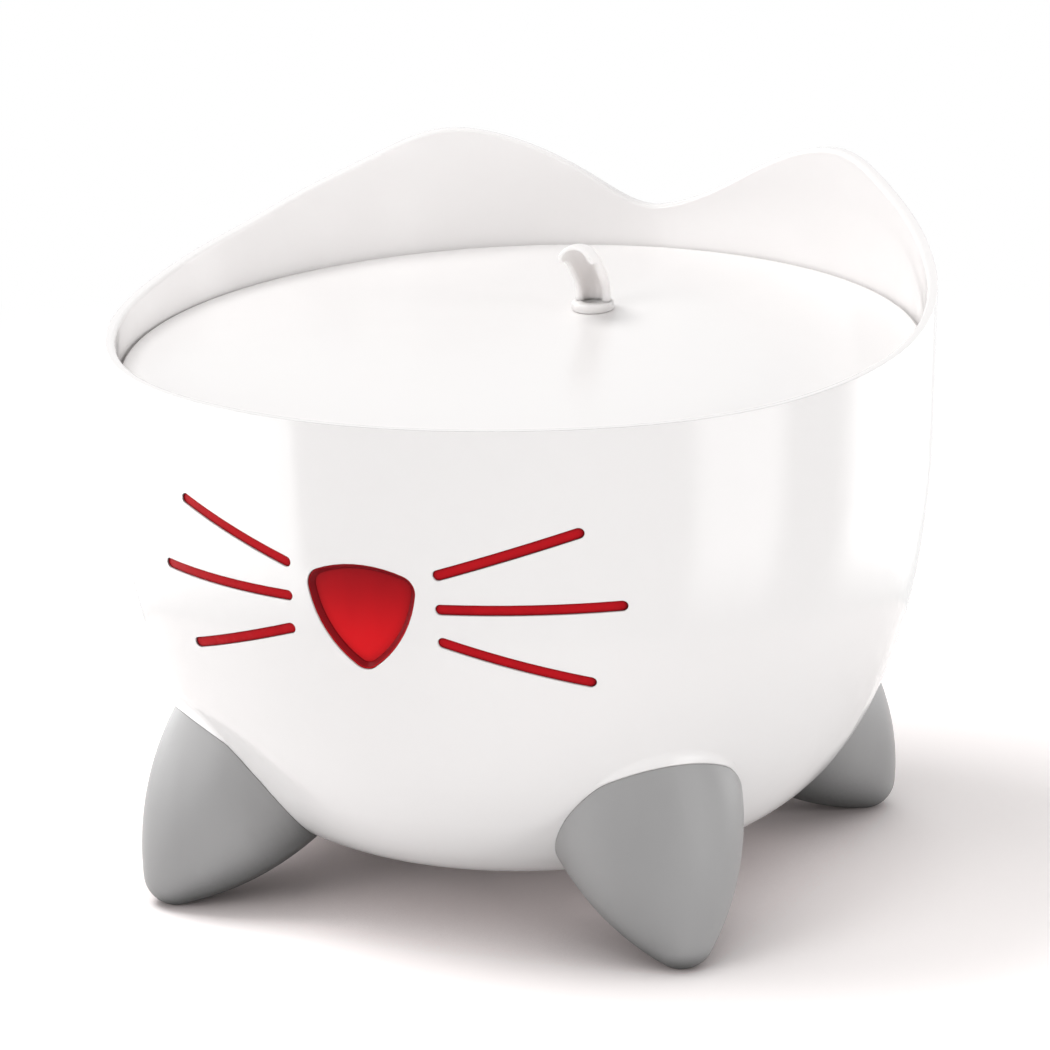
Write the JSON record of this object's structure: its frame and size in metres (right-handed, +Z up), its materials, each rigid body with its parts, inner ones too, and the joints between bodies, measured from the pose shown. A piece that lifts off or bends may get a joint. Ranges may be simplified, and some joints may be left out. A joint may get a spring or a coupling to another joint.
{
  "type": "pet water fountain",
  "caption": "Round drinking fountain for pets: a footed basin with two raised ears, a sloped lid with a spout, a light behind red lenses, and a filter canister with a pump inside.",
  "frame": {"origin": "on the floor, below the centre of the basin", "axes": "+Z up, -Y out of the face side with the nose and whiskers, +X to the right when facing it"},
  "size_m": [0.2414, 0.2414, 0.1962],
  "materials": {
    "basin_white": "polished moulding",
    "lid_white": "polished moulding",
    "spout_grey": "satin moulding",
    "foot_grey": "soft-touch moulding",
    "lens_red": "tinted light window",
    "seal_rubber": "silicone rubber",
    "housing_white": "fine satin moulding",
    "board_green": "solder-resist board",
    "led_yellow": "encapsulated chip",
    "screw_steel": "stainless steel",
    "grommet_rubber": "pale silicone rubber",
    "case_smoke": "smoke grey moulding",
    "filter_foam": "open-cell foam",
    "filter_carbon": "carbon granules in a pouch",
    "pump_black": "fine spark-eroded moulding",
    "cup_rubber": "moulded rubber",
    "core_steel": "laminated electrical steel",
    "coil_copper": "enamelled copper wire",
    "impeller_white": "acetal moulding",
    "magnet_ferrite": "sintered ferrite",
    "dial_grey": "satin moulding"
  },
  "bodies": {
    "basin": {"basin": "basin_white", "foot_front_left": "foot_grey", "foot_front_right": "foot_grey", "foot_rear_left": "foot_grey", "foot_rear_right": "foot_grey", "nose_lens": "lens_red", "whisker_lens_left": "lens_red", "whisker_lens_right": "lens_red", "light_gasket": "seal_rubber", "light_cover": "housing_white", "led_board": "board_green", "led_chips": "led_yellow", "light_cover_screws": "screw_steel", "cable_grommet": "grommet_rubber"},
    "lid": {"drinking_lid": "lid_white"},
    "spout": {"spout": "spout_grey"},
    "filter_case": {"filter_case": "case_smoke"},
    "case_cover": {"filter_case_cover": "case_smoke"},
    "cartridge": {"cartridge_frame": "housing_white", "cartridge_cap": "housing_white", "foam_disc": "filter_foam", "carbon_bed": "filter_carbon"},
    "pump": {"pump_body": "pump_black", "pump_cover": "pump_black", "pump_seal": "seal_rubber", "stator_core": "core_steel", "stator_coil": "coil_copper", "motor_cap": "pump_black", "suction_cups": "cup_rubber", "riser_tube": "housing_white", "pump_shaft": "screw_steel", "shaft_bushes": "cup_rubber"},
    "impeller": {"impeller": "impeller_white", "rotor_magnet": "magnet_ferrite"},
    "flow_dial": {"flow_dial": "dial_grey"}
  },
  "joints": [
    {"name": "lid_lift", "type": "slide", "parent": "basin", "child": "lid", "axis": [0, 0, 1], "range_m": [0, 0.16]},
    {"name": "spout_pull", "type": "slide", "parent": "lid", "child": "spout", "axis": [0, 0, 1], "range_m": [0, 0.03]},
    {"name": "case_lift", "type": "slide", "parent": "basin", "child": "filter_case", "axis": [0, 0, 1], "range_m": [0, 0.04]},
    {"name": "cover_lift", "type": "slide", "parent": "filter_case", "child": "case_cover", "axis": [0, 0, 1], "range_m": [0, 0.08]},
    {"name": "cartridge_lift", "type": "slide", "parent": "filter_case", "child": "cartridge", "axis": [0, 0, 1], "range_m": [0, 0.06]},
    {"name": "pump_lift", "type": "slide", "parent": "filter_case", "child": "pump", "axis": [0, 0, 1], "range_m": [0, 0.04]},
    {"name": "impeller_spin", "type": "hinge", "parent": "pump", "child": "impeller", "pos_m": [0.0057, 0.044, 0.0462], "axis": [1, 0, 0], "continuous": true},
    {"name": "flow_dial_turn", "type": "hinge", "parent": "pump", "child": "flow_dial", "pos_m": [0.0057, 0.044, 0.0462], "axis": [1, 0, 0], "range_deg": [0, 30]}
  ],
  "couplings": [
    {"joint": "case_lift", "follows": "lid_lift", "ratio": 0.25},
    {"joint": "cover_lift", "follows": "lid_lift", "ratio": 0.5},
    {"joint": "cartridge_lift", "follows": "lid_lift", "ratio": 0.375},
    {"joint": "pump_lift", "follows": "lid_lift", "ratio": 0.25}
  ]
}
